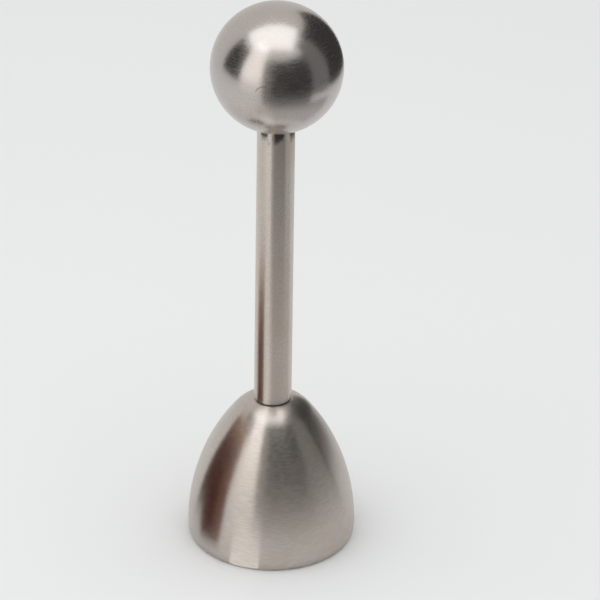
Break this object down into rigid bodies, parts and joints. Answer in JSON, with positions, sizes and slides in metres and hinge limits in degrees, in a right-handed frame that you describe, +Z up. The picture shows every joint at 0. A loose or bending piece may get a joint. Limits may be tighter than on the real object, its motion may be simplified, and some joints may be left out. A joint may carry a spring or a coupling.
{
  "type": "egg topper",
  "caption": "Spring-loaded egg topper: bell-shaped cup, tube handle sliding on a guide rod against a spring, and a ball grip that is pulled up and let go.",
  "frame": {"origin": "centre of the cup's rim, on the surface that the tool stands on", "axes": "+Z up along the tool, from the cup to the ball"},
  "size_m": [0.0356, 0.0356, 0.1273],
  "materials": {
    "brushed_steel": "satin, fine grain round the bell",
    "drawn_steel": "satin, fine grain along and round the tube",
    "ball_steel": "satin, fine polishing grain",
    "ground_steel": "ground and polished",
    "fastener_steel": "turned and rolled, bright",
    "spring_wire": "drawn spring wire",
    "black_bush": "machined acetal, matt"
  },
  "bodies": {
    "cup": {"bell_cup": "brushed_steel", "guide_rod": "ground_steel", "bell_washer": "fastener_steel", "bell_lock_washer": "fastener_steel", "bell_nut": "fastener_steel", "rod_guide_washer": "fastener_steel", "rod_lock_nut": "fastener_steel", "spring": "spring_wire"},
    "thrust_washer": {"spring_foot_washer": "fastener_steel"},
    "handle": {"foot_bush": "black_bush", "tube": "drawn_steel", "tube_top_plug": "fastener_steel", "ball_stud": "fastener_steel", "ball_boss": "fastener_steel", "ball_lower_shell": "ball_steel", "ball_upper_shell": "ball_steel"}
  },
  "joints": [
    {"name": "handle_lift", "type": "slide", "parent": "cup", "child": "thrust_washer", "axis": [0, 0, 1], "range_m": [0, 0.022], "stiffness_N_per_m": 760, "springref_m": -0.008, "deforming": ["spring"]},
    {"name": "handle_spin", "type": "hinge", "parent": "thrust_washer", "child": "handle", "pos_m": [0, 0, 0.0329], "axis": [0, 0, 1], "continuous": true}
  ]
}
